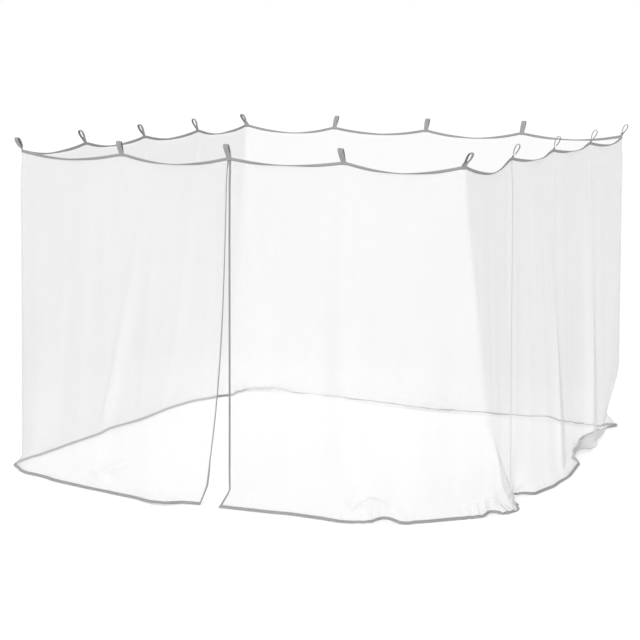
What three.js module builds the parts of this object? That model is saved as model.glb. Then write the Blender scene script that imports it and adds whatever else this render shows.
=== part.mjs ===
// Outdoor mosquito net for a square gazebo. It hangs by loops along its rim, is open at the top and at
// the middle of its front, and its hem lies loose on the floor.
// Millimetres, +Z up. The origin is the middle of the rim, at the height where the loops are sewn on.
// The cloth is one long strip. A place on it is given by s, the length along the rim from the front
// opening's left edge, left round the net to the opening's right edge, and by v, which runs from 0 at the
// rim to 1 where the cloth nears the floor and 2 at the hem.
import * as THREE from "three";
import { LoftGeometry } from "three/addons/geometries/LoftGeometry.js";
import { mergeGeometries, mergeVertices } from "three/addons/utils/BufferGeometryUtils.js";

// Driving dimensions
const SIDE = 3000; // the rim, each way
const BAY = 750; // from one loop to the next
const FLOOR = -2100; // the floor below the rim
const NET_THICK = 1.5;
const TAPE_THICK = 1;
const GAP = 0.3; // between pieces that are sewn together
const RIM_TAPE = 18; // binding on each face of the rim
const HEM_TAPE = 18; // binding on each face of the hem
const EDGE_TAPE = 12; // binding on each face of the front opening's edges
const SEAM = 9750; // where the two lengths of netting are joined
const ROUND = 4 * SIDE; // the whole way round the rim
const RIM_RADIUS = 32; // of the rim's corners
const FLAT = 20; // of rim on each side of a loop that stays level and flat
const STRAIGHT = 60; // below the rim that hangs plumb
const FOOT = 120; // of cloth below v = 1, where no more is needed to reach the hem
const BEND = 0.4; // share of the foot that is bent
const REST = NET_THICK / 2 + GAP + TAPE_THICK; // from the hem's middle down to the floor
const OFFSET_ORDER = 0.001; // makes an offset count less than a row in the order of rails

// Hanging loops
const LOOP_WIDTH = 34;
const LOOP_SEWN = 16; // of its stem that lies on the rim's binding
const LOOP_START = 3; // from the rim to where the two layers part
const LOOP_TIP = 90; // from the rim to the loop's end, along its slant
const LOOP_ROUND = 33; // sets how wide the eye is
const LOOP_SLANT = THREE.MathUtils.degToRad(25); // out from the wall
const LOOP_STEPS = 14; // along the eye's outline

// How far the rim sags in each bay, from the opening's left edge round to its right edge
const BAY_SAGS = [50, 42, 46, 45, 40, 48, 54, 41, 51, 42, 38, 32, 38, 62, 50, 30];
const SAG_SHAPE = 1.6; // 1 is a sharp V, 2 is round

// Where the plan of the walls turns, in the order of s: how far each turn has drifted along the cloth by the
// floor, where it stands at the rim and at the floor, and its radius at the floor. The front right corner's
// foot is drawn back along the right wall.
const CORNERS = [
  { s: 1500, drift: 0, rim: [-1500, -1500], floor: [-1690, -1410], radius: 260 },
  { s: 3900, drift: 0, rim: [-1500, 900], floor: [-1690, 900], radius: 300 },
  { s: 4500, drift: 0, rim: [-1500, 1500], floor: [-1580, 1540], radius: 400 },
  { s: 7500, drift: 0, rim: [1500, 1500], floor: [1545, 1540], radius: 140 },
  { s: 8600, drift: 0, rim: [1500, 400], floor: [1540, 430], radius: 400 },
  { s: 9300, drift: 0, rim: [1500, -300], floor: [1625, -290], radius: 400 },
  { s: 9750, drift: 0, rim: [1500, -750], floor: [1545, -810], radius: 200 },
  { s: 10500, drift: -350, rim: [1500, -1500], floor: [1545, -1060], radius: 70 },
  { s: 10850, drift: -180, rim: [1150, -1500], floor: [1200, -1430], radius: 600 },
  { s: 11130, drift: 0, rim: [870, -1500], floor: [820, -1605], radius: 600 },
  { s: 12000, drift: 0, rim: [0, -1500], floor: [0, -1620], radius: 400 },
  { s: 12350, drift: 0, rim: [-350, -1500], floor: [-440, -1725], radius: 300 },
];

// How the hem lies: out from the wall's foot, or in where lie is negative, and lifted off the floor
const HEM = [
  { s: 0, lie: 10, lift: 0 },
  { s: 130, lie: 5, lift: 0 },
  { s: 240, lie: 52, lift: 8 },
  { s: 440, lie: 15, lift: 0 },
  { s: 640, lie: 22, lift: 0 },
  { s: 880, lie: 32, lift: 0 },
  { s: 1080, lie: 36, lift: 0 },
  { s: 1240, lie: 20, lift: 0 },
  { s: 1360, lie: 24, lift: 0 },
  { s: 1480, lie: 22, lift: 0 },
  { s: 1610, lie: 55, lift: 0 },
  { s: 1760, lie: 40, lift: 0 },
  { s: 1880, lie: 28, lift: 0 },
  { s: 2200, lie: 28, lift: 0 },
  { s: 2640, lie: 18, lift: 0 },
  { s: 2760, lie: 20, lift: 8 },
  { s: 3200, lie: 4, lift: 0 },
  { s: 3640, lie: 16, lift: 0 },
  { s: 3960, lie: -3, lift: 0 },
  { s: 4180, lie: -33, lift: 0 },
  { s: 4340, lie: -60, lift: 0 },
  { s: 4480, lie: 10, lift: 0 },
  { s: 4590, lie: 130, lift: 14 },
  { s: 4720, lie: 55, lift: 6 },
  { s: 4900, lie: 4, lift: 0 },
  { s: 5300, lie: -6, lift: 0 },
  { s: 5560, lie: -31, lift: 0 },
  { s: 5820, lie: -55, lift: 0 },
  { s: 6140, lie: -76, lift: 0 },
  { s: 6520, lie: -28, lift: 0 },
  { s: 6740, lie: -28, lift: 0 },
  { s: 6980, lie: -32, lift: 14 },
  { s: 7100, lie: -43, lift: 0 },
  { s: 7240, lie: -71, lift: 0 },
  { s: 7380, lie: -50, lift: 0 },
  { s: 7450, lie: 40, lift: 6 },
  { s: 7540, lie: -105, lift: 0 },
  { s: 7660, lie: -146, lift: 4 },
  { s: 7960, lie: -158, lift: 10 },
  { s: 8240, lie: -103, lift: 6 },
  { s: 8500, lie: -28, lift: 0 },
  { s: 8720, lie: 48, lift: 0 },
  { s: 9000, lie: 54, lift: 0 },
  { s: 9280, lie: 28, lift: 0 },
  { s: 9500, lie: 22, lift: 0 },
  { s: 9620, lie: -70, lift: 8 },
  { s: 9720, lie: 5, lift: 6 },
  { s: 9820, lie: 52, lift: 4 },
  { s: 9950, lie: 99, lift: 0 },
  { s: 10100, lie: 63, lift: 0 },
  { s: 10180, lie: 5, lift: 6 },
  { s: 10270, lie: 43, lift: 0 },
  { s: 10560, lie: 35, lift: 0 },
  { s: 10680, lie: 36, lift: 0 },
  { s: 10750, lie: 50, lift: 0 },
  { s: 10880, lie: 0, lift: 12 },
  { s: 11000, lie: 40, lift: 4 },
  { s: 11120, lie: 40, lift: 0 },
  { s: 11300, lie: 22, lift: 0 },
  { s: 11500, lie: 16, lift: 0 },
  { s: 11720, lie: 28, lift: 0 },
  { s: ROUND, lie: 35, lift: 0 },
];

// Folds: where each begins, how far it has drifted along s by the floor, its half width, how far it
// stands out at the floor, and the share of the drop where it begins.
const FOLDS = [
  { s: 470, drift: 450, width: 60, height: 28, begins: 0.8 },
  { s: 760, drift: 30, width: 90, height: 16, begins: 0.05 },
  { s: 1860, drift: -40, width: 150, height: 55, begins: 0.3 },
  { s: 2250, drift: -60, width: 120, height: 20, begins: 0.25 },
  { s: 3000, drift: -280, width: 70, height: 60, begins: 0.05 },
  { s: 3740, drift: -200, width: 90, height: 26, begins: 0.2 },
  { s: 5250, drift: 20, width: 120, height: -18, begins: 0.1 },
  { s: 6010, drift: -30, width: 110, height: 16, begins: 0.15 },
  { s: 6760, drift: 30, width: 130, height: -20, begins: 0.1 },
  { s: 7560, drift: 0, width: 260, height: -90, begins: 0.76 },
  { s: 8260, drift: 30, width: 75, height: 60, begins: 0.05 },
  { s: 9100, drift: 0, width: 70, height: 60, begins: 0.1 },
  { s: 9640, drift: 0, width: 60, height: -45, begins: 0.85 },
  { s: 10210, drift: -250, width: 70, height: 85, begins: 0.76 },
  { s: 10960, drift: 0, width: 110, height: 40, begins: 0.8 },
  { s: 11250, drift: -210, width: 105, height: 45, begins: 0.03 },
];

// How far each edge of the opening has swung along s by the floor, over how much of the cloth, how late on
// its way down it does so, and how far the hem's corner flicks out along s
const LEFT_EDGE = { swing: 68, over: 700, lateness: 3, flick: 38 };
const RIGHT_EDGE = { swing: -48, over: 900, lateness: 1, flick: 54 };
const FLICK_OVER = 260;

// Rows of the netting, down from the rim: a distance from the rim, a share of the hang or of the foot, or a
// distance from the hem
const EDGE_IN = TAPE_THICK + GAP; // from a binding's fold to the netting's edge
const NET_ROWS = [
  { rim: EDGE_IN },
  { rim: RIM_TAPE },
  { rim: 150 },
  { hang: 0.22 },
  { hang: 0.42 },
  { hang: 0.62 },
  { hang: 0.8 },
  { hang: 0.92 },
  { foot: 0 },
  { foot: 0.2 },
  { foot: BEND },
  { hem: HEM_TAPE },
  { hem: EDGE_IN },
];

const netWhite = { color: 0xf2f2f2, roughness: 0.85, metalness: 0, side: THREE.DoubleSide };
const tapeGrey = { color: 0x9a9a9c, roughness: 0.8, metalness: 0 };

const { clamp, euclideanModulo, lerp, smoothstep } = THREE.MathUtils;

// The rim's height at s: level and flat at each loop, a shallow curve between two of them.
function rimHeight(s) {
  const bay = clamp(Math.floor(s / BAY), 0, BAY_SAGS.length - 1);
  const share = clamp((s - bay * BAY - FLAT) / (BAY - 2 * FLAT), 0, 1);
  return -BAY_SAGS[bay] * (1 - Math.abs(2 * share - 1) ** SAG_SHAPE);
}

// A column of the HEM table at s.
function hemValue(s, column) {
  const within = clamp(s, 0, ROUND);
  const next = Math.max(HEM.findIndex((row) => row.s >= within), 1);
  const [from, to] = [HEM[next - 1], HEM[next]];
  return lerp(from[column], to[column], smoothstep(within, from.s, to.s));
}

// The foot of the cloth at s: its length, how far it turns from straight down, and how far its end lies
// out from and below its start.
function footAt(s) {
  const lie = hemValue(s, "lie");
  const flatReach = BEND * 2 / Math.PI + 1 - BEND; // of a foot 1 long that turns until it is level
  const length = Math.max(FOOT, Math.abs(lie) / flatReach);
  const turn = clamp(lie / (length * flatReach), -1, 1) * Math.PI / 2;
  const end = footPlace({ length, turn }, 1);
  return { length, turn, ...end };
}

// How far out and down a share of the foot lies.
function footPlace({ length, turn }, share) {
  const bent = Math.min(share, BEND) * length;
  const after = Math.max(share - BEND, 0) * length;
  const angle = turn * Math.min(share / BEND, 1);
  if (Math.abs(turn) < 1e-6) return { out: 0, down: bent + after };
  const radius = BEND * length / turn;
  return {
    out: radius * (1 - Math.cos(angle)) + after * Math.sin(angle),
    down: radius * Math.sin(angle) + after * Math.cos(angle),
  };
}

// The drop at s from the rim to the foot.
function hangAt(s) {
  return rimHeight(s) - (FLOOR + REST + hemValue(s, "lift") + footAt(s).down);
}

// A corner of the plan, the count going on round past the last one. share is 0 at the rim and 1 at the floor.
function cornerAt(count, share) {
  const { s, drift, rim, floor, radius } = CORNERS[euclideanModulo(count, CORNERS.length)];
  return {
    place: s + drift * share + ROUND * Math.floor(count / CORNERS.length),
    xy: new THREE.Vector2(...rim).lerp(new THREE.Vector2(...floor), share),
    radius: lerp(RIM_RADIUS, radius, share ** 1.5),
  };
}

// How far the plan turns inwards at a corner.
function turnAt(before, corner, after) {
  const way = corner.xy.clone().sub(before.xy);
  const onward = after.xy.clone().sub(corner.xy);
  return -Math.atan2(way.cross(onward), way.dot(onward));
}

// The plan of the walls at s: a point and the way it faces. The walls run straight from one corner's arc to
// the next.
function planAt(s, share) {
  const along = euclideanModulo(s - CORNERS[0].s, ROUND) + CORNERS[0].s;
  const at = CORNERS.findLastIndex((corner) => along >= corner.s + corner.drift * share);
  const [before, start, stop, after] = [-1, 0, 1, 2].map((step) => cornerAt(at + step, share));
  const firstTurn = turnAt(before, start, stop);
  const lastTurn = turnAt(start, stop, after);
  const firstArc = start.radius * Math.abs(firstTurn) / 2;
  const lastArc = stop.radius * Math.abs(lastTurn) / 2;
  const firstCut = start.radius * Math.tan(Math.abs(firstTurn) / 2);
  const lastCut = stop.radius * Math.tan(Math.abs(lastTurn) / 2);
  const heading = stop.xy.clone().sub(start.xy).normalize();
  const facing = new THREE.Vector2(-heading.y, heading.x);
  const middle = start.xy.distanceTo(stop.xy) - firstCut - lastCut;
  const part = (along - start.place) / (stop.place - start.place);
  const way = part * (firstArc + middle + lastArc) - firstArc;
  const straight = clamp(way, 0, middle);
  const [radius, turn] = way < 0 ? [start.radius, firstTurn] : [stop.radius, lastTurn];
  const angle = (way - straight) / radius;
  const inwards = Math.sign(turn);
  const point = start.xy.clone();
  point.addScaledVector(heading, firstCut + straight + radius * Math.sin(angle));
  point.addScaledVector(facing, -inwards * radius * (1 - Math.cos(angle)));
  const normal = facing.multiplyScalar(Math.cos(angle)).addScaledVector(heading, inwards * Math.sin(angle));
  return { point: new THREE.Vector3(point.x, point.y, 0), normal: new THREE.Vector3(normal.x, normal.y, 0) };
}

// How far the cloth stands out from its plan in folds, which die out from the foot to the hem.
function foldsAt(s, share) {
  return FOLDS.reduce((sum, fold) => {
    const fallen = clamp((share - fold.begins) / (1 - fold.begins), 0, 1);
    const across = (s - fold.s - fold.drift * fallen ** 2) / fold.width;
    return sum + fold.height * Math.exp(-across * across) * smoothstep(fallen, 0, 1);
  }, 0);
}

// How far the cloth near the opening has swung along s.
function swingAt(s, share, footShare) {
  const edge = s < ROUND / 2 ? LEFT_EDGE : RIGHT_EDGE;
  const inward = s < ROUND / 2 ? s : ROUND - s;
  const near = clamp(1 - inward / edge.over, 0, 1);
  const nearest = clamp(1 - inward / FLICK_OVER, 0, 1);
  return edge.swing * near * near * share ** edge.lateness + edge.flick * nearest * nearest * footShare;
}

// The middle of the cloth's thickness at s and v.
function clothMiddle(s, v) {
  const hang = hangAt(s);
  const foot = footAt(s);
  const drop = hang * Math.min(v, 1);
  const share = clamp((drop - STRAIGHT) / (hang - STRAIGHT), 0, 1);
  const footShare = Math.max(v - 1, 0);
  const place = footPlace(foot, footShare);
  const { point, normal } = planAt(s + swingAt(s, share, footShare), share);
  point.addScaledVector(normal, foldsAt(s, share) * (1 - footShare) + place.out);
  point.z = rimHeight(s) - drop - place.down;
  return point;
}

// A point of the cloth, offset outwards from the middle of its thickness.
function clothPoint(s, v, offset) {
  const [ds, dv] = [0.5, 0.001];
  const alongS = clothMiddle(s + ds, v).sub(clothMiddle(s - ds, v));
  const alongV = clothMiddle(s, Math.min(v + dv, 2)).sub(clothMiddle(s, Math.max(v - dv, 0)));
  const outwards = alongS.cross(alongV).normalize();
  return clothMiddle(s, v).addScaledVector(outwards, offset);
}

// The v of a row at s.
function rowPlace(s, row) {
  if (row.rim !== undefined) return row.rim / hangAt(s);
  if (row.hang !== undefined) return row.hang;
  if (row.foot !== undefined) return 1 + row.foot;
  return 2 - row.hem / footAt(s).length;
}

// Columns along the strip: beside each loop, where the hem turns over, where the hem and the folds change,
// and across each bay.
function columnsBetween(from, to) {
  const wanted = [];
  const closest = 34;
  const turning = 60; // change of lie that takes more columns
  const add = (s, room) => {
    const clear = wanted.every((other) => Math.abs(other - s) >= room);
    if (s >= from && s <= to && clear) wanted.push(s);
  };
  [from, to].forEach((s) => add(s, 0));
  for (let loop = 0; loop <= ROUND; loop += BAY) [loop - FLAT, loop + FLAT].forEach((s) => add(s, 0.5));
  [EDGE_TAPE, SEAM, ROUND - EDGE_TAPE].forEach((s) => add(s, 1));
  HEM.forEach((row) => add(row.s, closest));
  HEM.slice(1).forEach((row, i) => {
    const steps = Math.abs(row.lie - HEM[i].lie) > turning ? [0.5, 0.25, 0.75] : [];
    steps.forEach((share) => add(lerp(HEM[i].s, row.s, share), closest));
  });
  CORNERS.forEach(({ s, drift }) => {
    for (let way = drift; way < 0; way += 50) add(s + way, closest);
  });
  FOLDS.forEach(({ s, width }) => [s, s - width, s + width].forEach((place) => add(place, closest)));
  for (let bay = 0; bay < ROUND; bay += BAY) {
    [0.5, 0.26, 0.74].forEach((share) => add(bay + BAY * share, 2.5 * closest));
  }
  return wanted.sort((a, b) => a - b);
}

// Turns a geometry's faces round.
function insideOut(geometry) {
  const index = geometry.index.array;
  for (let i = 0; i < index.length; i += 3) [index[i], index[i + 1]] = [index[i + 1], index[i]];
  return geometry;
}

// The face between two rails. Neighbouring faces of the cloth are cut into triangles the same way, by the
// rails' order, so that they stay apart where the cloth is twisted.
function faceBetween(a, b) {
  const sections = (p, q) => p.points.map((point, i) => [point, q.points[i]]);
  if (a.order <= b.order) return new LoftGeometry(sections(a, b), { closed: false });
  return insideOut(new LoftGeometry(sections(b, a), { closed: false }));
}

// A closed solid of cloth or tape between the rails of one face and those of the other, each from edge to
// edge. A rail holds the points of a line along the piece.
function solidBetween(face, back) {
  const ring = [...face, ...[...back].reverse()];
  const sides = ring.map((rail, i) => faceBetween(rail, ring[(i + 1) % ring.length]));
  const endAt = (i) => face.map((rail, k) => [rail.points.at(i), back[k].points.at(i)]);
  const start = new LoftGeometry(endAt(0), { closed: false });
  const finish = insideOut(new LoftGeometry(endAt(-1), { closed: false }));
  const parts = [...sides, start, finish];
  parts.forEach((part) => part.deleteAttribute("normal").deleteAttribute("uv"));
  const solid = mergeVertices(mergeGeometries(parts), 1e-4);
  solid.computeVertexNormals();
  return solid;
}

// A length of netting from one column to another.
function netting(from, to) {
  const columns = columnsBetween(from, to);
  const rails = (offset) => NET_ROWS.map((row, i) => ({
    order: i + offset * OFFSET_ORDER,
    points: columns.map((s) => clothPoint(s, rowPlace(s, row), offset)),
  }));
  return solidBetween(rails(-NET_THICK / 2), rails(NET_THICK / 2));
}

// Tape folded over an edge of the cloth. place gives the point at a station along the edge, at a distance
// in from the fold and at an offset. flow is 1 where s or v grows away from the fold, and -1 elsewhere.
// side is the sign of the offset of the flap that ends the section.
function foldedTape(stations, width, flow, side, place) {
  const within = side * (NET_THICK / 2 + GAP);
  const outside = within + side * TAPE_THICK;
  const rail = (inward, offset) => ({
    order: flow * inward + offset * OFFSET_ORDER,
    points: stations.map((station) => place(station, inward, offset)),
  });
  const face = [
    rail(width, -within),
    rail(TAPE_THICK, -within),
    rail(TAPE_THICK, within),
    rail(width, within),
  ];
  const back = [rail(width, -outside), rail(0, -outside), rail(0, outside), rail(width, outside)];
  return solidBetween(face, back);
}

function rimBinding() {
  const columns = columnsBetween(GAP / 2, ROUND - GAP / 2);
  return foldedTape(columns, RIM_TAPE, 1, 1, (s, inward, offset) =>
    clothPoint(s, rowPlace(s, { rim: inward }), offset));
}

function hemBinding() {
  const columns = columnsBetween(GAP / 2, ROUND - GAP / 2);
  return foldedTape(columns, HEM_TAPE, -1, -1, (s, inward, offset) =>
    clothPoint(s, rowPlace(s, { hem: inward }), offset));
}

// Binding of one edge of the opening, between those of the rim and the hem.
function edgeBinding(edge, flow) {
  const rows = [{ rim: RIM_TAPE + GAP }, ...NET_ROWS.slice(2, -2), { hem: HEM_TAPE + GAP }];
  return foldedTape(rows, EDGE_TAPE, flow, -flow, (row, inward, offset) => {
    const s = edge + flow * inward;
    return clothPoint(s, rowPlace(s, row), offset);
  });
}

// The side view of a loop, x out from the binding and y up from the rim: a stem of two layers of tape that
// opens into an eye shaped like a drop.
function loopShape() {
  const root = new THREE.Vector2(GAP + TAPE_THICK, 0);
  const length = LOOP_TIP - LOOP_START;
  const drop = (t) => new THREE.Vector2(
    LOOP_ROUND / 2 * Math.sin(t) * Math.sin(t / 2) ** 1.3,
    LOOP_START + length * (1 - Math.cos(t)) / 2,
  );
  const outline = (inset, open) => Array.from({ length: LOOP_STEPS + 1 }, (_, i) => {
    const t = lerp(open, 2 * Math.PI - open, i / LOOP_STEPS);
    const along = drop(t + 0.01).sub(drop(t - 0.01)).normalize();
    const inwards = new THREE.Vector2(-along.y, along.x);
    return drop(t).addScaledVector(inwards, inset).rotateAround(new THREE.Vector2(), -LOOP_SLANT).add(root);
  });
  const stem = [
    new THREE.Vector2(GAP, -LOOP_SEWN),
    new THREE.Vector2(GAP + 2 * TAPE_THICK, -LOOP_SEWN),
    new THREE.Vector2(GAP + 2 * TAPE_THICK, 0),
  ];
  const shape = new THREE.Shape([...stem, ...outline(0, 0.75), new THREE.Vector2(GAP, 0)]);
  shape.holes.push(new THREE.Path(outline(TAPE_THICK, 1.05)));
  return shape;
}

// Places a loop with its stem on the rim's binding at s.
function placeLoop(mesh, s) {
  const face = NET_THICK / 2 + GAP + TAPE_THICK;
  const rimPoint = (place) => clothPoint(euclideanModulo(place, ROUND), 0, face);
  const before = rimPoint(s - FLAT);
  const after = rimPoint(s + FLAT);
  const along = after.clone().sub(before).normalize();
  const up = new THREE.Vector3(0, 0, 1);
  const out = up.clone().cross(along);
  mesh.quaternion.setFromRotationMatrix(new THREE.Matrix4().makeBasis(out, up, along));
  mesh.position.copy(before).add(after).multiplyScalar(0.5).addScaledVector(along, -LOOP_WIDTH / 2);
}

function addMesh(group, name, geometry, finish) {
  const mesh = new THREE.Mesh(geometry, new THREE.MeshStandardMaterial(finish));
  mesh.name = name;
  group.add(mesh);
  return mesh;
}

const net = new THREE.Group();
const edgeOfNet = EDGE_IN + GAP / 2;
addMesh(net, "net_long", netting(edgeOfNet, SEAM - GAP / 2), netWhite);
addMesh(net, "net_short", netting(SEAM + GAP / 2, ROUND - edgeOfNet), netWhite);
addMesh(net, "rim_binding", rimBinding(), tapeGrey);
addMesh(net, "hem_binding", hemBinding(), tapeGrey);
addMesh(net, "opening_binding_left", edgeBinding(GAP / 2, 1), tapeGrey);
addMesh(net, "opening_binding_right", edgeBinding(ROUND - GAP / 2, -1), tapeGrey);
for (let count = 0; count < ROUND / BAY; count += 1) {
  const geometry = new THREE.ExtrudeGeometry(loopShape(), { depth: LOOP_WIDTH, bevelEnabled: false });
  const name = `loop_${String(count + 1).padStart(2, "0")}`;
  placeLoop(addMesh(net, name, geometry, tapeGrey), count * BAY);
}

export default net;
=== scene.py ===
"""Outdoor mosquito net for a square gazebo: its looks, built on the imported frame.

Lengths are millimetres while the cloth is worked out, and metres in every mesh. The cloth is one long strip.
A place on it is s, the length along the rim from the front opening's left edge, left round the net to the
opening's right edge, and v, from 0 at the rim to 1 where the cloth nears the floor and 2 at the hem.
"""

import math

import bpy
import numpy as np
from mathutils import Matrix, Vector


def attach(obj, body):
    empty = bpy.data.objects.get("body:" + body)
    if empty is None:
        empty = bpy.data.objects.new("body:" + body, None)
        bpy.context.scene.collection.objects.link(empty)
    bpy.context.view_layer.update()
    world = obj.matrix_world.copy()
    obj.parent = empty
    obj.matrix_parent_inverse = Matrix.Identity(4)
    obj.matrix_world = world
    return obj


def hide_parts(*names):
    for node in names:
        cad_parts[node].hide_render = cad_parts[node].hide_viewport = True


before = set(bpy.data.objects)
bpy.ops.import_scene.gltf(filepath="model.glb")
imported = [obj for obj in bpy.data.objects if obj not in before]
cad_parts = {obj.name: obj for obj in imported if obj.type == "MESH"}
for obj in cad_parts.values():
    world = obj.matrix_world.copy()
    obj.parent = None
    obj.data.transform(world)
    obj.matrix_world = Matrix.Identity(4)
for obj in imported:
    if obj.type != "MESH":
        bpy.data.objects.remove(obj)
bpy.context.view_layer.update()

MM = 0.001

# The same driving dimensions as the solids
SIDE = 3000.0
BAY = 750.0
FLOOR = -2100.0
NET_THICK = 1.5
TAPE_THICK = 1.0
GAP = 0.3
RIM_TAPE = 18.0
HEM_TAPE = 18.0
EDGE_TAPE = 12.0
SEAM = 9750.0
ROUND = 4 * SIDE
RIM_RADIUS = 32.0
ROUNDING = 1.5  # how late the corners' radius grows on the way down
FLAT = 20.0  # half of the level stretch of rim under a loop
STRAIGHT = 60.0  # the cloth hangs straight this far below the rim
FOOT = 120.0  # least length of the cloth from the wall's foot to the hem
BEND = 0.4  # share of the foot that bends, the rest is straight
NO_TURN = 1e-6  # stands for an angle of nothing where it divides
REST = NET_THICK / 2 + GAP + TAPE_THICK
EDGE_IN = TAPE_THICK + GAP

LOOP_WIDTH = 34.0
LOOP_SEWN = 16.0
LOOP_START = 3.0
LOOP_TIP = 90.0
LOOP_ROUND = 33.0
LOOP_SLANT = math.radians(25)

# How far the rim sags in each bay, from the opening round
BAY_SAGS = np.array([50, 42, 46, 45, 40, 48, 54, 41, 51, 42, 38, 32, 38, 62, 50, 30], float)
SAG_SHAPE = 1.6  # 1 is a sharp V, 2 is round

# Where the plan of the walls turns, in the order of s: s at the rim and how far it has drifted along the
# cloth by the floor, x and y at the rim, x and y at the floor, and the radius at the floor
CORNERS = np.array([
    (1500, 0, -1500, -1500, -1690, -1410, 260), (3900, 0, -1500, 900, -1690, 900, 300),
    (4500, 0, -1500, 1500, -1580, 1540, 400), (7500, 0, 1500, 1500, 1545, 1540, 140),
    (8600, 0, 1500, 400, 1540, 430, 400), (9300, 0, 1500, -300, 1625, -290, 400),
    (9750, 0, 1500, -750, 1545, -810, 200), (10500, -350, 1500, -1500, 1545, -1060, 70),
    (10850, -180, 1150, -1500, 1200, -1430, 600), (11130, 0, 870, -1500, 820, -1605, 600),
    (12000, 0, 0, -1500, 0, -1620, 400), (12350, 0, -350, -1500, -440, -1725, 300),
], float)

# How the hem lies: s, how far out from the wall's foot, and how far it is lifted off the floor
HEM = np.array([
    (0, 10, 0), (130, 5, 0), (240, 52, 8), (440, 15, 0), (640, 22, 0), (880, 32, 0),
    (1080, 36, 0), (1240, 20, 0), (1360, 24, 0), (1480, 22, 0), (1610, 55, 0), (1760, 40, 0),
    (1880, 28, 0), (2200, 28, 0), (2640, 18, 0), (2760, 20, 8), (3200, 4, 0), (3640, 16, 0),
    (3960, -3, 0), (4180, -33, 0), (4340, -60, 0), (4480, 10, 0), (4590, 130, 14), (4720, 55, 6),
    (4900, 4, 0), (5300, -6, 0), (5560, -31, 0), (5820, -55, 0), (6140, -76, 0), (6520, -28, 0),
    (6740, -28, 0), (6980, -32, 14), (7100, -43, 0), (7240, -71, 0), (7380, -50, 0), (7450, 40, 6),
    (7540, -105, 0), (7660, -146, 4), (7960, -158, 10), (8240, -103, 6), (8500, -28, 0), (8720, 48, 0),
    (9000, 54, 0), (9280, 28, 0), (9500, 22, 0), (9620, -70, 8), (9720, 5, 6), (9820, 52, 4),
    (9950, 99, 0), (10100, 63, 0), (10180, 5, 6), (10270, 43, 0), (10560, 35, 0), (10680, 36, 0),
    (10750, 50, 0), (10880, 0, 12), (11000, 40, 4), (11120, 40, 0), (11300, 22, 0), (11500, 16, 0),
    (11720, 28, 0), (12000, 35, 0),
], float)

# The tuck at the front right: the fold that stands out above it falls back below this line, given as s and
# the height above the hem
TUCK = np.array([(10716, 20), (10852, 62), (10892, 120), (10988, 175), (11036, 144), (11140, 30)], float)
TUCK_FOLD = (10960, 0, 110, 40, 0.8)
TUCK_DROP = 16.0
NO_TUCK = -100.0

# Folds: s, drift along s by the floor, half width, height at the floor, share of the drop where it begins
FOLDS = [
    (330, 400, 60, 28, 0.8), (760, 30, 90, 16, 0.05), (1860, -40, 150, 55, 0.3),
    (2250, -60, 120, 20, 0.25), (3000, -280, 70, 60, 0.05), (3740, -200, 90, 26, 0.2),
    (5250, 20, 120, -18, 0.1), (6010, -30, 110, 16, 0.15), (6760, 30, 130, -20, 0.1),
    (7560, 0, 260, -90, 0.76), (8260, 30, 75, 60, 0.05), (9100, 0, 70, 60, 0.1),
    (9640, 0, 60, -45, 0.85), (10210, -250, 70, 85, 0.76), TUCK_FOLD,
    (11250, -210, 105, 45, 0.03),
]

# The opening's left and right edges: swing along s by the floor, over how much cloth, how late, and the flick
# of the hem's corner
LEFT_EDGE = (68, 700, 3.0, 38)
RIGHT_EDGE = (-48, 900, 1.0, 54)
FLICK_OVER = 260.0

# Finer than the solids: slow ripples of the hanging cloth as wavelength, height and phase
RIPPLES = [(463, 3.2, 0.4), (287, 2.2, 2.1), (171, 1.1, 4.4), (97, 0.5, 1.3)]
RIPPLE_SHIFT = 1.5  # how far a ripple wanders sideways, as an angle
RIPPLE_PACE = 2.2  # how fast it wanders on the way down
RIPPLES_FULL = 0.25  # share of the drop from which ripples have their full height

# The ridge that runs down from each loop: its height, half width, how much wider it grows, and the shares of
# the drop where it is full and where it has faded
PINCH_HEIGHT = 7.0
PINCH_WIDTH = 24.0
PINCH_SPREAD = 90.0
PINCH_FULL = 0.05
PINCH_END = 0.6

ROLL = math.radians(78)  # how far the rim's tape has tipped over between two loops
ROLL_LESS = 0.75  # share of that in every third bay
ROLL_DEPTH = 46.0  # how far below the rim the tipping fades out
ROLL_SLACK = 350.0  # how far below the rim the cloth it draws up is taken in

# The bound edges of the opening curl out a little: over how much cloth, how far round, how far below the rim
# the curl is full and from which share of the drop it is lost again
CURL_OVER = 26.0
CURL = math.radians(70)
CURL_FULL = 70.0
CURL_END = 0.9
NO_CURL = 1e-4

# How far the hem's own edge curls up along the back wall, at s, over how much cloth, and how that wavers: its
# middle share, its swing and two paces along s
RISES = np.array([(4620, 0), (4760, 22), (5000, 18), (5900, 24), (6600, 20), (7250, 22), (7420, 0)], float)
RISE_OVER = 22.0
RISE_MIDDLE, RISE_SWING = 0.85, 0.3
RISE_PACES = (53, 131)

# Crumples of the hem: s, half width, height and wavelength
CRUMPLES = [
    (60, 160, 2, 62), (330, 200, 2, 74), (900, 260, 1.5, 90), (1500, 160, 3, 70), (2700, 200, 3, 88),
    (3950, 180, 4, 66), (4780, 240, 9, 72), (6250, 200, 3, 84), (7450, 240, 7, 80), (8100, 300, 7, 76),
    (9700, 240, 8, 68), (10150, 200, 9, 64), (10900, 160, 5, 58), (11200, 140, 2, 66), (11850, 160, 1.5, 80),
]
CRUMPLE_FINE = 0.5  # height of the finer waves on a crumple
CRUMPLE_PACE = 2.35  # how many of them to a wave
CRUMPLE_SLANT = 3.0  # how far they slant towards the hem
CRUMPLE_FULL = 0.5  # share of the foot from which crumples have their full height
CRUMPLE_OUT = 0.5  # share of a crumple that also goes outwards

# Steps along s and v for finding which way the cloth faces
STEP_S = 0.5
STEP_V = 0.001


def smooth(x):
    x = np.clip(x, 0, 1)
    return x * x * (3 - 2 * x)


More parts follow.
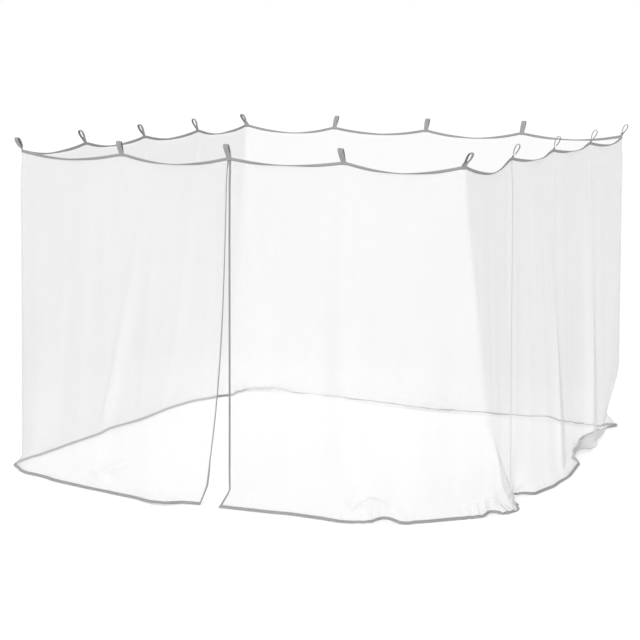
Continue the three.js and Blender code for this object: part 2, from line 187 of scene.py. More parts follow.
def bay_share(s):
    """The bay that s lies in, and how far across it."""
    bay = np.clip(np.floor(s / BAY), 0, len(BAY_SAGS) - 1).astype(int)
    return bay, np.clip((s - bay * BAY - FLAT) / (BAY - 2 * FLAT), 0, 1)


def rim_height(s):
    bay, share = bay_share(s)
    return -BAY_SAGS[bay] * (1 - np.abs(2 * share - 1) ** SAG_SHAPE)


def hem_value(s, column):
    s = np.clip(s, 0, ROUND)
    at = np.clip(np.searchsorted(HEM[:, 0], s, side="left"), 1, len(HEM) - 1)
    begin, end = HEM[at - 1], HEM[at]
    share = smooth((s - begin[..., 0]) / (end[..., 0] - begin[..., 0]))
    return begin[..., column] * (1 - share) + end[..., column] * share


def foot_at(s):
    """The foot's length and how far it turns from straight down."""
    lie = hem_value(s, 1)
    flat_reach = BEND * 2 / math.pi + 1 - BEND
    length = np.maximum(FOOT, np.abs(lie) / flat_reach)
    turn = np.clip(lie / (length * flat_reach), -1, 1) * math.pi / 2
    return length, np.where(np.abs(turn) < NO_TURN, NO_TURN, turn)


def foot_place(length, turn, share):
    """How far out and down a share of the foot lies."""
    after = np.maximum(share - BEND, 0) * length
    angle = turn * np.minimum(share / BEND, 1)
    radius = BEND * length / turn
    out = radius * (1 - np.cos(angle)) + after * np.sin(angle)
    down = radius * np.sin(angle) + after * np.cos(angle)
    return out, down


def hang_at(s):
    length, turn = foot_at(s)
    _, down = foot_place(length, turn, np.ones_like(s))
    return rim_height(s) - (FLOOR + REST + hem_value(s, 2) + down)


def plan_at(s, share):
    """The plan of the walls at s, x and y, and the way they face there."""
    s, share = np.broadcast_arrays(np.asarray(s, float), np.asarray(share, float))
    first_s = CORNERS[0, 0]
    along = np.mod(s - first_s, ROUND) + first_s
    places = CORNERS[:, 0] + CORNERS[:, 1] * share[..., None]
    at = (along[..., None] >= places).sum(axis=-1) - 1
    count = len(CORNERS)

    def corner(number):
        row = CORNERS[number % count]
        xy = row[..., 2:4] + (row[..., 4:6] - row[..., 2:4]) * share[..., None]
        place = row[..., 0] + row[..., 1] * share + ROUND * (number // count)
        return xy, place, RIM_RADIUS + (row[..., 6] - RIM_RADIUS) * share ** ROUNDING

    def way_of(a, b):
        return (b - a) / np.linalg.norm(b - a, axis=-1, keepdims=True)

    def turn_of(way, onward):
        cross = way[..., 0] * onward[..., 1] - way[..., 1] * onward[..., 0]
        return -np.arctan2(cross, (way * onward).sum(axis=-1))

    back, _, _ = corner(at - 1)
    start, begins, first = corner(at)
    stop, ends, last = corner(at + 1)
    ahead, _, _ = corner(at + 2)
    heading = way_of(start, stop)
    length = np.linalg.norm(stop - start, axis=-1)
    first_turn = turn_of(way_of(back, start), heading)
    last_turn = turn_of(heading, way_of(stop, ahead))
    first_cut = first * np.tan(np.abs(first_turn) / 2)
    last_cut = last * np.tan(np.abs(last_turn) / 2)
    first_arc = first * np.abs(first_turn) / 2
    last_arc = last * np.abs(last_turn) / 2
    middle = length - first_cut - last_cut
    way = (along - begins) / (ends - begins) * (first_arc + middle + last_arc) - first_arc
    straight = np.clip(way, 0, middle)
    radius = np.where(way < 0, first, last)
    inwards = np.sign(np.where(way < 0, first_turn, last_turn))
    angle = (way - straight) / radius
    facing = np.stack([-heading[..., 1], heading[..., 0]], axis=-1)
    forward = first_cut + straight + radius * np.sin(angle)
    outward = -inwards * radius * (1 - np.cos(angle))
    point = start + heading * forward[..., None] + facing * outward[..., None]
    normal = facing * np.cos(angle)[..., None] + heading * (inwards * np.sin(angle))[..., None]
    return point, normal


def fold_at(s, share, place, drift, width, height, begins):
    fallen = np.clip((share - begins) / (1 - begins), 0, 1)
    across = (s - place - drift * fallen ** 2) / width
    return height * np.exp(-across ** 2) * smooth(fallen)


def folds_at(s, share):
    return sum(fold_at(s, share, *fold) for fold in FOLDS)


def tuck_at(s, share, above_hem):
    """How far the cloth below the tuck has fallen back."""
    line = np.interp(s, TUCK[:, 0], TUCK[:, 1], left=NO_TUCK, right=NO_TUCK)
    return fold_at(s, share, *TUCK_FOLD) * smooth((line - above_hem) / TUCK_DROP)


def ripples_at(s, share):
    """Slow ripples of the cloth and the ridge under each loop."""
    total = np.zeros_like(s + share)
    for wavelength, height, phase in RIPPLES:
        lean = phase + RIPPLE_SHIFT * np.sin(share * RIPPLE_PACE + phase)
        total += height * np.sin(2 * math.pi * s / wavelength + lean)
    total *= smooth(share / RIPPLES_FULL)
    beside = s - BAY * np.round(s / BAY)
    ridge = np.exp(-(beside / (PINCH_WIDTH + PINCH_SPREAD * share)) ** 2)
    faded = (1 - np.clip(share / PINCH_END, 0, 1)) ** 2
    return total + PINCH_HEIGHT * ridge * smooth(share / PINCH_FULL) * faded


def swing_at(s, share, foot_share):
    """How far along s the opening's edges have swung."""
    left = s < ROUND / 2
    swing, over, lateness, flick = (np.where(left, a, b) for a, b in zip(LEFT_EDGE, RIGHT_EDGE))
    from_edge = np.where(left, s, ROUND - s)
    near = np.clip(1 - from_edge / over, 0, 1) ** 2
    nearest = np.clip(1 - from_edge / FLICK_OVER, 0, 1) ** 2
    return swing * near * share ** lateness + flick * nearest * foot_share


def crumple_at(s, v):
    """Small crumples of the cloth that lies on the floor."""
    total = np.zeros_like(s + v)
    for place, width, height, wavelength in CRUMPLES:
        near = np.exp(-((s - place) / width) ** 2)
        angle = 2 * math.pi * s / wavelength
        fine = CRUMPLE_FINE * np.sin(CRUMPLE_PACE * angle + CRUMPLE_SLANT * v)
        total += height * near * (np.sin(angle + place) + fine)
    return total * smooth((v - 1) / CRUMPLE_FULL)


def curl_at(s, drop, share):
    """How far along s and how far out the curl of the opening's edges takes the cloth."""
    left = s < ROUND / 2
    from_edge = np.where(left, s, ROUND - s)
    begun = smooth((drop - RIM_TAPE) / (CURL_FULL - RIM_TAPE))
    left_over = 1 - smooth((share - CURL_END) / (1 - CURL_END))
    round_by = np.maximum(CURL * begun * left_over, NO_CURL)
    radius = CURL_OVER / round_by
    angle = np.clip(CURL_OVER - from_edge, 0, CURL_OVER) / radius
    drawn_back = (angle - np.sin(angle)) * radius
    return np.where(left, drawn_back, -drawn_back), radius * (1 - np.cos(angle))


def rise_at(s, foot_share, length):
    """How far the hem's own edge is raised."""
    fast, slow = RISE_PACES
    waver = RISE_MIDDLE + RISE_SWING * np.sin(s / fast) * np.sin(s / slow + 1)
    nearness = np.clip(1 - (1 - foot_share) * length / RISE_OVER, 0, 1)
    return np.interp(s, RISES[:, 0], RISES[:, 1]) * waver * nearness


def cloth_middle(s, v):
    """The middle of the cloth's thickness at s and v."""
    s, v = np.broadcast_arrays(np.asarray(s, float), np.asarray(v, float))
    hang = hang_at(s)
    length, turn = foot_at(s)
    drop = hang * np.minimum(v, 1)
    share = np.clip((drop - STRAIGHT) / (hang - STRAIGHT), 0, 1)
    foot_share = np.maximum(v - 1, 0)
    out, down = foot_place(length, turn, foot_share)
    along, curled = curl_at(s, drop, share)
    point, normal = plan_at(s + swing_at(s, share, foot_share) + along, share)
    crumple = crumple_at(s, v)
    flat = np.abs(np.sin(turn * np.minimum(foot_share / BEND, 1)))
    above_hem = length * (1 - foot_share) + hang - drop
    standing = folds_at(s, share) - tuck_at(s, share, above_hem) + ripples_at(s, share)
    out = out + standing * (1 - foot_share) + CRUMPLE_OUT * crumple + curled
    # The rim's tape tips out of the wall where it hangs slack between two loops.
    bay, across = bay_share(s)
    tip = ROLL * np.sin(math.pi * across) ** 2 * np.where(bay % 3 == 1, ROLL_LESS, 1.0)
    soft = ROLL_DEPTH - RIM_TAPE
    below = np.clip(drop - RIM_TAPE, 0, soft)
    longest = RIM_TAPE + soft / 2
    lever = longest - np.minimum(drop, RIM_TAPE) - below + below ** 2 / (2 * soft)
    slack = longest * (1 - smooth((drop - ROLL_DEPTH) / (ROLL_SLACK - ROLL_DEPTH)))
    out = out + lever * np.sin(tip)
    z = rim_height(s) - drop - down + (slack - lever) * (1 - np.cos(tip)) + crumple * flat
    z = z + rise_at(s, foot_share, length)
    xy = point + normal * out[..., None]
    return np.concatenate([xy, np.maximum(z, FLOOR + REST)[..., None]], axis=-1)


def cloth_point(s, v, offset):
    """A point of the cloth, offset outwards from the middle of its thickness."""
    s, v, offset = np.broadcast_arrays(*(np.asarray(x, float) for x in (s, v, offset)))
    along_s = cloth_middle(s + STEP_S, v) - cloth_middle(s - STEP_S, v)
    along_v = cloth_middle(s, np.minimum(v + STEP_V, 2)) - cloth_middle(s, np.maximum(v - STEP_V, 0))
    outwards = np.cross(along_s, along_v)
    outwards /= np.linalg.norm(outwards, axis=-1, keepdims=True)
    return cloth_middle(s, v) + outwards * offset[..., None]


def rim_v(s, depth):
    return depth / hang_at(s)


def hem_v(s, depth):
    return 2 - depth / foot_at(s)[0]


# Meshes


def quads(rows, columns, around=False):
    """Faces of a grid of points, closed round its rows if around."""
    last = rows if around else rows - 1
    row, column = np.meshgrid(np.arange(last), np.arange(columns - 1), indexing="ij")
    below = (row + 1) % rows
    corners = [row * columns + column, row * columns + column + 1, below * columns + column + 1,
               below * columns + column]
    return np.stack([c.ravel() for c in corners], axis=-1)


def make_piece(name, points, faces, uv, material, nodes=(), smooth_faces=True):
    """One mesh object from points in millimetres. uv holds a pair of metres for each point."""
    mesh = bpy.data.meshes.new(name)
    faces = faces.tolist() if isinstance(faces, np.ndarray) else faces
    mesh.from_pydata((np.asarray(points).reshape(-1, 3) * MM).tolist(), [], faces)
    mesh.validate()
    layer = mesh.uv_layers.new(name="Cloth")
    index = np.empty(len(mesh.loops), np.int32)
    mesh.loops.foreach_get("vertex_index", index)
    layer.data.foreach_set("uv", np.asarray(uv, np.float32).reshape(-1, 2)[index].ravel())
    if smooth_faces:
        mesh.polygons.foreach_set("use_smooth", np.ones(len(mesh.polygons), bool))
    mesh.materials.append(material)
    piece = bpy.data.objects.new(name, mesh)
    bpy.context.scene.collection.objects.link(piece)
    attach(piece, "root")
    if nodes:
        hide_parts(*nodes)
    return piece


# Materials


def new_material(name):
    material = bpy.data.materials.new(name)
    material.use_nodes = True
    tree = material.node_tree
    return material, tree, tree.nodes["Principled BSDF"]


def add_node(tree, kind, inputs=None, **settings):
    node = tree.nodes.new(kind)
    for key, value in settings.items():
        setattr(node, key, value)
    for key, value in (inputs or {}).items():
        if isinstance(value, bpy.types.NodeSocket):
            tree.links.new(value, node.inputs[key])
        else:
            node.inputs[key].default_value = value
    return node


def waves(tree, uv, directions, pitch):
    """The sum of sine waves across a cloth's own flat coordinates."""
    total = None
    for x, y in directions:
        turn = 2 * math.pi / pitch
        across = add_node(tree, "ShaderNodeVectorMath", {0: uv, 1: (x * turn, y * turn, 0)},
                          operation="DOT_PRODUCT")
        wave = add_node(tree, "ShaderNodeMath", {0: across.outputs["Value"]}, operation="SINE").outputs[0]
        if total is None:
            total = wave
        else:
            total = add_node(tree, "ShaderNodeMath", {0: total, 1: wave}, operation="ADD").outputs[0]
    return total


# Shares of a cloth's tone: clouds, fibres and the weave, the fibres' scale, and where its tones begin and end
CLOUD_SHARE, FIBRE_SHARE, WEAVE_SHARE = 0.45, 0.2, 0.35
FIBRE_SCALE = 900.0
TONE_BEGIN, TONE_END = 0.15, 0.85
ROUGH_SPREAD = 0.06
THREAD_DEPTH = 0.25  # of the weave's pitch
SHEEN_ROUGHNESS = 0.5
CLOTH_SPECULAR = 0.2


def cloth_material(name, dark, light, pitch, directions, bump, roughness, sheen, blotch, alpha=1.0):
    """Woven or knitted cloth: threads in a pattern, uneven in tone, with a soft sheen."""
    material, tree, shader = new_material(name)
    uv = add_node(tree, "ShaderNodeUVMap", uv_map="Cloth").outputs["UV"]
    threads = waves(tree, uv, directions, pitch)
    top = float(len(directions))
    weave = add_node(tree, "ShaderNodeMapRange",
                     {"Value": threads, "From Min": -top, "From Max": top}).outputs[0]
    place = add_node(tree, "ShaderNodeTexCoord").outputs["Object"]
    cloud = add_node(tree, "ShaderNodeTexNoise", {"Vector": place, "Scale": blotch, "Detail": 4.0}).outputs[0]
    fibre = add_node(tree, "ShaderNodeTexNoise",
                     {"Vector": uv, "Scale": FIBRE_SCALE, "Detail": 2.0}).outputs[0]
    tone = 0.0
    for part, weight in ((cloud, CLOUD_SHARE), (fibre, FIBRE_SHARE), (weave, WEAVE_SHARE)):
        tone = add_node(tree, "ShaderNodeMath", {0: part, 1: weight, 2: tone},
                        operation="MULTIPLY_ADD").outputs[0]
    ramp = add_node(tree, "ShaderNodeValToRGB", {"Fac": tone})
    ramp.color_ramp.elements[0].position = TONE_BEGIN
    ramp.color_ramp.elements[0].color = (*dark, 1)
    ramp.color_ramp.elements[1].position = TONE_END
    ramp.color_ramp.elements[1].color = (*light, 1)
    tree.links.new(ramp.outputs["Color"], shader.inputs["Base Color"])
    rough = add_node(tree, "ShaderNodeMapRange", {"Value": tone, "To Min": roughness + ROUGH_SPREAD,
                                                  "To Max": roughness - ROUGH_SPREAD})
    tree.links.new(rough.outputs[0], shader.inputs["Roughness"])
    relief = add_node(tree, "ShaderNodeBump", {"Height": weave, "Strength": bump,
                                               "Distance": pitch * THREAD_DEPTH})
    tree.links.new(relief.outputs["Normal"], shader.inputs["Normal"])
    shader.inputs["Sheen Weight"].default_value = sheen
    shader.inputs["Sheen Roughness"].default_value = SHEEN_ROUGHNESS
    shader.inputs["Specular IOR Level"].default_value = CLOTH_SPECULAR
    shader.inputs["Alpha"].default_value = alpha
    return material


HEXAGONS = [(1.0, 0.0), (0.5, 0.866), (-0.5, 0.866)]
TWILL = [(1.0, 0.6), (0.0, 1.0)]
TWIST = [(1.0, 1.0)]
NET_TONES = {"dark": (0.44, 0.44, 0.443), "light": (0.52, 0.52, 0.52)}
NET_KNIT = {"pitch": 0.0018, "directions": HEXAGONS, "roughness": 0.85, "sheen": 0.1, "blotch": 1.5}
fine_netting = cloth_material("fine_netting", bump=0.25, alpha=0.42, **NET_TONES, **NET_KNIT)
# A more opaque copy of the netting in the same tones: it stands partly for the second layer where the foot is
# folded under and partly for painted shade in the folds there.
doubled_and_shade_netting = cloth_material("netting_doubled_and_painted_shade", bump=0.3, alpha=0.62, **NET_TONES, **NET_KNIT)
seam_material = cloth_material("netting_seam", (0.40, 0.40, 0.403), (0.49, 0.49, 0.49), bump=0.3, alpha=0.8,
                               **NET_KNIT)
tape_material = cloth_material("woven_tape", (0.166, 0.166, 0.169), (0.242, 0.242, 0.247), pitch=0.0011,
                               directions=TWILL, bump=0.6, roughness=0.8, sheen=0.15, blotch=14.0)
thread_material = cloth_material("sewing_thread", (0.21, 0.21, 0.215), (0.34, 0.34, 0.34), pitch=0.0006,
                                 directions=TWIST, bump=0.4, roughness=0.7, sheen=0.1, blotch=30.0)


# Netting

DOUBLED_AND_SHADE = [(7540, 8620, 1.0), (10140, 10270, 1.25)]  # more opaque netting, partly for the foot folded under and partly painted shade in its folds: from s, to s, from v
LONG_COLUMN, SHORT_COLUMN = 12.5, 7.5  # width of a column of faces

# Rows of the netting: depths below the rim, shares of the drop, shares of the foot, depths above the hem
RIM_ROWS = [EDGE_IN, 5, 9, 13, RIM_TAPE, 24, 31, 39, 48, 60, 75]
WALL_ROWS = np.concatenate([np.linspace(0.05, 0.86, 45), np.linspace(0.874, 0.95, 7),
                            np.linspace(0.955, 1.0, 11)])
FOOT_ROWS = np.linspace(0.05, 1.0, 20)[:-1]
HEM_ROWS = [13, 9, 5, EDGE_IN]


def row_table(s):
    """v of each row of the netting at s, and how far below the rim it lies along the cloth."""
    hang, (length, _) = hang_at(s), foot_at(s)
    rows = [depth / hang for depth in RIM_ROWS]
    rows += [np.full_like(s, share) for share in WALL_ROWS]
    last = 2 - HEM_TAPE / length
    rows += [1 + share * (last - 1) for share in FOOT_ROWS] + [last]
    rows += [2 - depth / length for depth in HEM_ROWS]
    v = np.stack(rows)
    return v, hang * np.minimum(v, 1) + length * np.maximum(v - 1, 0)


def make_netting(name, start, stop, column, node):
    s = np.linspace(start, stop, int((stop - start) / column) + 1)
    v, down = row_table(s)
    points = cloth_middle(np.broadcast_to(s, v.shape), v)
    uv = np.stack([np.broadcast_to(s, v.shape), down], axis=-1) * MM
    piece = make_piece(name, points, quads(*v.shape), uv, fine_netting, [node])
    piece.data.materials.append(doubled_and_shade_netting)
    middle = (v[:-1, :-1] + v[1:, :-1]) / 2
    # Faces in those stretches take the more opaque netting, which partly paints the shade of the folds.
    doubled_and_shade_faces = sum((s[:-1] > begin) & (s[:-1] < end) & (middle > from_v) for begin, end, from_v in DOUBLED_AND_SHADE)
    piece.data.polygons.foreach_set("material_index", doubled_and_shade_faces.ravel().astype(np.int32))
    piece.visible_shadow = False  # the netting is too fine to cast a shadow that shows
    return piece


edge_of_net = EDGE_IN + GAP / 2
netting_long = make_netting("netting_long", edge_of_net, SEAM - GAP / 2, LONG_COLUMN, "net_long")
netting_short = make_netting("netting_short", SEAM + GAP / 2, ROUND - edge_of_net, SHORT_COLUMN, "net_short")


# Bindings

TAPE_BULGE = 0.1  # of the tape's face between its fold and its edge


def tape_section(width):
    """Outer and inner outline of tape folded over an edge: how far in from the fold, and the offset."""
    out, within = REST, NET_THICK / 2 + GAP
    outer = [(width, out), (width / 2, out + TAPE_BULGE), (2, out), (0.7, 1.5)]
    inner = [(width, within), (width / 2, within), (2.2, within), (1.35, 0.8)]

    def both_sides(half, fold):
        return np.array([(inward, -offset) for inward, offset in half] + [(fold, 0)] + half[::-1])

    return both_sides(outer, 0), both_sides(inner, 1)


def make_tape(name, width, stations, place, along, node):
    """Tape folded over an edge. place(station, inward, offset) gives a point."""
    outer, inner = tape_section(width)
    ring = np.concatenate([outer, inner[::-1]])
    points = place(stations[None, :], ring[:, :1], ring[:, 1:])
    faces = quads(*points.shape[:2], around=True).tolist()
    count, last = len(stations), len(ring) - 1
    for i in range(len(outer) - 1):
        ends = [i, i + 1, last - i - 1, last - i]
        faces.append([e * count for e in ends])
        faces.append([e * count + count - 1 for e in reversed(ends)])
    girth = np.concatenate([[0], np.cumsum(np.linalg.norm(np.diff(ring, axis=0), axis=1))])
    uv = np.stack(np.broadcast_arrays(along[None, :], girth[:, None]), axis=-1) * MM
    return make_piece(name, points, faces, uv, tape_material, [node])


def place_rim(s, inward, offset):
    s, inward, offset = np.broadcast_arrays(s, inward, offset)
    return cloth_point(s, rim_v(s, inward), offset)


def place_hem(s, inward, offset):
    s, inward, offset = np.broadcast_arrays(s, inward, offset)
    return cloth_point(s, hem_v(s, inward), offset)


def place_edge(edge, flow):
    def place(t, inward, offset):
        t, inward, offset = np.broadcast_arrays(t, inward, offset)
        s = edge + flow * inward
        first, last = rim_v(s, RIM_TAPE + GAP), hem_v(s, HEM_TAPE + GAP)
        return cloth_point(s, first + (last - first) * t, offset)
    return place


ROUND_COUNT, EDGE_COUNT = 1001, 141  # places along a tape
EDGE_LENGTH = -FLOOR
round_stations = np.linspace(GAP / 2, ROUND - GAP / 2, ROUND_COUNT)
edge_stations = np.linspace(0, 1, EDGE_COUNT)
edge_along = edge_stations * EDGE_LENGTH
left_place, right_place = place_edge(GAP / 2, 1), place_edge(ROUND - GAP / 2, -1)
rim_tape = make_tape("rim_tape", RIM_TAPE, round_stations, place_rim, round_stations, "rim_binding")
hem_tape = make_tape("hem_tape", HEM_TAPE, round_stations, place_hem, round_stations, "hem_binding")
edge_tape_left = make_tape("edge_tape_left", EDGE_TAPE, edge_stations, left_place, edge_along,
                           "opening_binding_left")
edge_tape_right = make_tape("edge_tape_right", EDGE_TAPE, edge_stations, right_place, edge_along,
                            "opening_binding_right")


# Stitches

STITCH, STITCH_PITCH, STITCH_WIDE, STITCH_HIGH = 3.2, 4.4, 0.8, 0.5
STITCH_SUNK = 0.1  # how deep a stitch's ends sit in the tape
STITCH_SLOPE = 0.5  # length of its sloping ends
STITCH_INSET, EDGE_INSET = 3.0, 2.5  # of a row of stitches from the tape's edge
STITCH_POINTS = 6
THREAD_STEP = 0.7  # along the thread's own pattern, from point to point


def make_thread(name, points):
    """One piece from the points of many stitches."""
    one = [(0, 1, 3, 2), (0, 2, 5, 4), (1, 4, 5, 3), (0, 4, 1), (2, 3, 5)]
    count = len(points) // STITCH_POINTS
    faces = [tuple(STITCH_POINTS * i + k for k in face) for i in range(count) for face in one]
    uv = np.stack([np.arange(len(points)) * THREAD_STEP, np.zeros(len(points))], axis=-1) * MM
    return make_piece(name, points, faces, uv, thread_material, smooth_faces=False)


def make_stitches(name, length, inward, place, scale=1.0):
    """A row of stitches on both faces of a tape. place takes a station from 0 to length, times scale."""
    begin = np.arange(STITCH_PITCH, length - STITCH_PITCH, STITCH_PITCH)
    rows = []
    for side in (-1, 1):
        low, high = side * (REST - STITCH_SUNK), side * (REST + STITCH_HIGH)
        half = side * STITCH_WIDE / 2
        ends = [(0, -half, low), (0, half, low), (STITCH, -half, low), (STITCH, half, low),
                (STITCH_SLOPE, 0, high), (STITCH - STITCH_SLOPE, 0, high)]
        stations = np.stack([begin + e[0] for e in ends], axis=1) * scale
        rows.append(place(stations, np.array([inward + e[1] for e in ends]), np.array([e[2] for e in ends])))
    return make_thread(name, np.concatenate([row.reshape(-1, 3) for row in rows]))


rim_stitches = make_stitches("rim_stitches", ROUND, RIM_TAPE - STITCH_INSET, place_rim)
hem_stitches = make_stitches("hem_stitches", ROUND, HEM_TAPE - STITCH_INSET, place_hem)
edge_stitches_left = make_stitches("edge_stitches_left", EDGE_LENGTH, EDGE_TAPE - EDGE_INSET, left_place,
                                   1 / EDGE_LENGTH)
edge_stitches_right = make_stitches("edge_stitches_right", EDGE_LENGTH, EDGE_TAPE - EDGE_INSET, right_place,
                                    1 / EDGE_LENGTH)


# Upright seam

SEAM_WIDTH = 11.0
SEAM_RISE = 1.0  # the fold of the seam stands this far out from the netting
SEAM_CROWN = 1.3  # and this far along its middle
SEAM_EDGE = 0.25  # and this far at its edges
SEAM_SHOULDER = 1.0  # how far in from its edges it has risen
SEAM_CLEAR = 1.0  # of the tapes at its ends
SEAM_COUNT = 161


def make_seam():
    t = np.linspace(0, 1, SEAM_COUNT)
    half = SEAM_WIDTH / 2
    across = np.array([(-half, SEAM_EDGE), (-half + SEAM_SHOULDER, SEAM_RISE), (0, SEAM_CROWN),
                       (half - SEAM_SHOULDER, SEAM_RISE), (half, SEAM_EDGE)])
    s = SEAM + across[:, :1] + 0 * t
    first, last = rim_v(s, RIM_TAPE + SEAM_CLEAR), hem_v(s, HEM_TAPE + SEAM_CLEAR)
    points = cloth_point(s, first + (last - first) * t, across[:, 1:] + 0 * t)
    uv = np.stack(np.broadcast_arrays(across[:, :1], t * EDGE_LENGTH), axis=-1) * MM
    return make_piece("wall_seam", points, quads(*points.shape[:2]), uv, seam_material)


wall_seam = make_seam()


# Hanging loops

EYE_TAPER = 1.3  # how the eye narrows towards its stem
EYE_BEGINS = 0.75  # of the drop's outline, as an angle
EYE_COUNT = 45
STEM = (-LOOP_SEWN, -11, -6, -1)  # heights of the points on each end of the tape
LOOP_EDGE = 1.2  # over which the tape thins out at its sides
LOOP_EDGE_SHARE = 0.4  # of the thickness that is left there
LOOP_HALF = 0.45 * TAPE_THICK  # half of the tape's thickness, a little less than the solid's
LOOP_BOW = 0.035  # share by which the tip's sides hang lower than its middle


def drop_outline(t, fullness):
    x = LOOP_ROUND / 2 * fullness * np.sin(t) * np.sin(t / 2) ** EYE_TAPER
    return np.stack([x, LOOP_START + (LOOP_TIP - LOOP_START) * (1 - np.cos(t)) / 2], axis=-1)


def sideways_of(path):
    tangent = np.gradient(path, axis=0)
    tangent /= np.linalg.norm(tangent, axis=1, keepdims=True)
    return np.stack([-tangent[:, 1], tangent[:, 0]], axis=-1)


def loop_path(lean, fullness):
    """The middle line of a loop's tape, x out from the binding and y up from the rim."""
    t = np.linspace(EYE_BEGINS, 2 * math.pi - EYE_BEGINS, EYE_COUNT)
    eye = drop_outline(t, fullness)
    eye += sideways_of(eye) * TAPE_THICK / 2
    slant = LOOP_SLANT + lean
    turn = np.array([[math.cos(slant), math.sin(slant)], [-math.sin(slant), math.cos(slant)]])
    eye = eye @ turn.T + (GAP + TAPE_THICK, 0)
    outer = np.array([(GAP + 1.5 * TAPE_THICK, y) for y in STEM])
    inner = np.array([(GAP + 0.5 * TAPE_THICK, y) for y in reversed(STEM)])
    path = np.concatenate([outer, eye, inner])
    for _ in range(2):  # ease the bends between the stem and the eye
        path[4:-4] = (path[3:-5] + 2 * path[4:-4] + path[5:-3]) / 4
    return path


def loop_base(s):
    """Where a loop sits on the binding: a point and the ways out, up and along."""
    ends = place_rim(np.mod(np.array([s - FLAT, s + FLAT]), ROUND), np.zeros(2), np.full(2, REST))
    along = (ends[1] - ends[0]) / np.linalg.norm(ends[1] - ends[0])
    up = np.array([0.0, 0.0, 1.0])
    return ends.mean(axis=0), np.cross(up, along), up, along


# Each loop's own lean, fullness of its eye, swing along the rim and turn about its stem, from the opening
# round, with the angles in degrees
LOOP_LOOKS = [
    (-3, 0.85, 2, 0), (2, 0.8, -3, 4), (4, 1.0, 4, 32), (0, 1.1, -2, 9),
    (3, 1.05, 3, 6), (-2, 1.1, 2, 9), (1, 1.0, -4, 45), (-4, 0.75, 3, -4),
    (2, 0.8, -2, 0), (-1, 0.78, 4, 3), (3, 1.1, -3, -18), (0, 1.15, 2, 27),
    (-3, 1.15, -2, 29), (2, 1.1, 3, 31), (4, 1.1, -4, 40), (-2, 0.8, 2, 0),
]
TURN_OVER = 28.0  # a loop turns about its stem over this much of its height


def make_loop(number, s, lean, fullness, sway, turn):
    path = loop_path(math.radians(lean), fullness)
    base, out, up, along = loop_base(s)
    normal = sideways_of(path)
    half = LOOP_WIDTH / 2
    shoulder, thin = half - LOOP_EDGE, LOOP_HALF * LOOP_EDGE_SHARE
    top = [(half, thin), (shoulder, LOOP_HALF), (0, LOOP_HALF), (-shoulder, LOOP_HALF), (-half, thin)]
    section = [(across, -high) for across, high in reversed(top)] + top
    rings = []
    for across, high in section:
        flat = path + normal * high
        angle = math.radians(turn) * smooth(flat[:, 1] / TURN_OVER)
        bow = 1.0 - LOOP_BOW * (across / half) ** 2 * np.clip(flat[:, 1] / LOOP_TIP, 0, 1)
        outward = flat[:, 0] * np.cos(angle) + across * np.sin(angle)
        sideways = across * np.cos(angle) - flat[:, 0] * np.sin(angle)
        sideways += np.maximum(flat[:, 1], 0) * math.tan(math.radians(sway))
        rings.append(base + np.outer(outward, out) + np.outer(flat[:, 1] * bow, up)
                     + np.outer(sideways, along))
    points = np.stack(rings)
    count = len(path)
    faces = quads(*points.shape[:2], around=True).tolist()
    last = len(section) - 1
    for i in range(len(top) - 1):
        ends = [i, i + 1, last - i - 1, last - i]
        faces.append([e * count for e in ends])
        faces.append([e * count + count - 1 for e in reversed(ends)])
    length = np.concatenate([[0], np.cumsum(np.linalg.norm(np.diff(path, axis=0), axis=1))])
    across = np.array([c[0] for c in section])
    uv = np.stack(np.broadcast_arrays(length[None, :], across[:, None]), axis=-1) * MM
    name = f"loop_{number:02d}"
    return make_piece(f"hanging_{name}", points, faces, uv, tape_material, [name])


# The box of stitches with a cross on each loop's stem: half its width, its lower and upper edge, and the size
# and spacing of its stitches
BOX_HALF, BOX_LOW, BOX_HIGH = 13.5, -13.5, -3.5
BOX_STITCH, BOX_PITCH, BOX_BEGINS, BOX_SPARE = 2.6, 3.4, 0.2, 2.4
BOX_WIDE, BOX_RISE, BOX_SLOPE = 0.4, 0.45, 0.4


def make_loop_stitches():
    face = GAP + 2 * TAPE_THICK
    low_left, low_right = (-BOX_HALF, BOX_LOW), (BOX_HALF, BOX_LOW)
    high_left, high_right = (-BOX_HALF, BOX_HIGH), (BOX_HALF, BOX_HIGH)
    rows = [(low_left, low_right), (high_left, high_right), (low_left, high_right), (high_left, low_right),
            (low_left, high_left), (low_right, high_right)]
    points = []
    for count in range(len(LOOP_LOOKS)):
        base, out, up, along = loop_base(count * BAY)
        for begin, end in rows:
            begin, end = np.array(begin), np.array(end)
            length = np.linalg.norm(end - begin)
            way = (end - begin) / length
            side = np.array([-way[1], way[0]]) * BOX_WIDE
            for start in np.arange(BOX_BEGINS, length - BOX_SPARE, BOX_PITCH):
                near, far = begin + way * start, begin + way * (start + BOX_STITCH)
                corners = [(near - side, -STITCH_SUNK), (near + side, -STITCH_SUNK),
                           (far - side, -STITCH_SUNK), (far + side, -STITCH_SUNK),
                           (near + way * BOX_SLOPE, BOX_RISE), (far - way * BOX_SLOPE, BOX_RISE)]
                points += [base + along * p[0] + up * p[1] + out * (face + high) for p, high in corners]
    return make_thread("loop_stitches", np.array(points))


loops = [make_loop(i + 1, i * BAY, *looks) for i, looks in enumerate(LOOP_LOOKS)]
loop_stitches = make_loop_stitches()


# Floor, light and camera, in metres

FLOOR_REACH = 120.0
FLOOR_BELOW = 0.0005  # how far it lies below the hem
FLOOR_DARK, FLOOR_LIGHT = (0.86, 0.86, 0.86, 1), (0.88, 0.88, 0.88, 1)
FLOOR_CLOUDS = 0.6


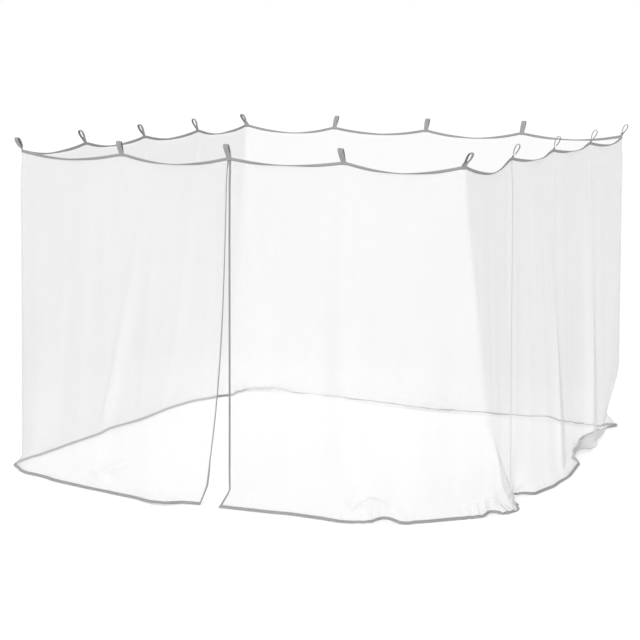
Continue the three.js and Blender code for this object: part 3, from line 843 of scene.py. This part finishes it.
def make_floor():
    mesh = bpy.data.meshes.new("floor")
    far = FLOOR_REACH
    z = FLOOR * MM - FLOOR_BELOW
    mesh.from_pydata([(-far, -far, z), (far, -far, z), (far, far, z), (-far, far, z)], [], [(0, 1, 2, 3)])
    material, tree, shader = new_material("pale_floor")
    place = add_node(tree, "ShaderNodeTexCoord").outputs["Object"]
    cloud = add_node(tree, "ShaderNodeTexNoise", {"Vector": place, "Scale": FLOOR_CLOUDS})
    ramp = add_node(tree, "ShaderNodeValToRGB", {"Fac": cloud.outputs[0]})
    ramp.color_ramp.elements[0].color = FLOOR_DARK
    ramp.color_ramp.elements[1].color = FLOOR_LIGHT
    tree.links.new(ramp.outputs["Color"], shader.inputs["Base Color"])
    shader.inputs["Roughness"].default_value = 0.95
    shader.inputs["Specular IOR Level"].default_value = 0.0
    mesh.materials.append(material)
    floor = bpy.data.objects.new("floor", mesh)
    bpy.context.scene.collection.objects.link(floor)


make_floor()

# An even white surround
world = bpy.data.worlds.new("studio")
bpy.context.scene.world = world
world.use_nodes = True
world.node_tree.nodes["Background"].inputs["Color"].default_value = (1, 1, 1, 1)
world.node_tree.nodes["Background"].inputs["Strength"].default_value = 1.0


def add_sun(name, energy, spread, pointing):
    light = bpy.data.lights.new(name, "SUN")
    light.energy = energy
    light.angle = math.radians(spread)
    sun = bpy.data.objects.new(name, light)
    sun.rotation_mode = "QUATERNION"
    sun.rotation_quaternion = Vector(pointing).to_track_quat("-Z", "Y")
    bpy.context.scene.collection.objects.link(sun)


def add_soft_box(name, watts, side, spread, location):
    light = bpy.data.lights.new(name, "AREA")
    light.energy = watts
    light.size = side
    light.spread = math.radians(spread)
    box = bpy.data.objects.new(name, light)
    box.location = location
    bpy.context.scene.collection.objects.link(box)


add_sun("key", energy=3.0, spread=30, pointing=(-0.237, 0.949, -0.208))
add_soft_box("overhead", watts=12, side=5.5, spread=25, location=(0.0, 0.0, 2.4))

# The camera was fitted to the photo's sixteen loops.
camera = bpy.data.cameras.new("camera")
camera.lens = 104.31
camera.sensor_width = 36.0
camera.clip_end = 400
camera_object = bpy.data.objects.new("camera", camera)
camera_object.location = (5.31257, -11.15045, 0.83727)
camera_object.rotation_euler = (math.radians(80.642), 0.0, math.radians(26.034))
bpy.context.scene.collection.objects.link(camera_object)
bpy.context.scene.camera = camera_object
bpy.context.scene.view_settings.view_transform = "Standard"
bpy.context.scene.view_settings.look = "None"
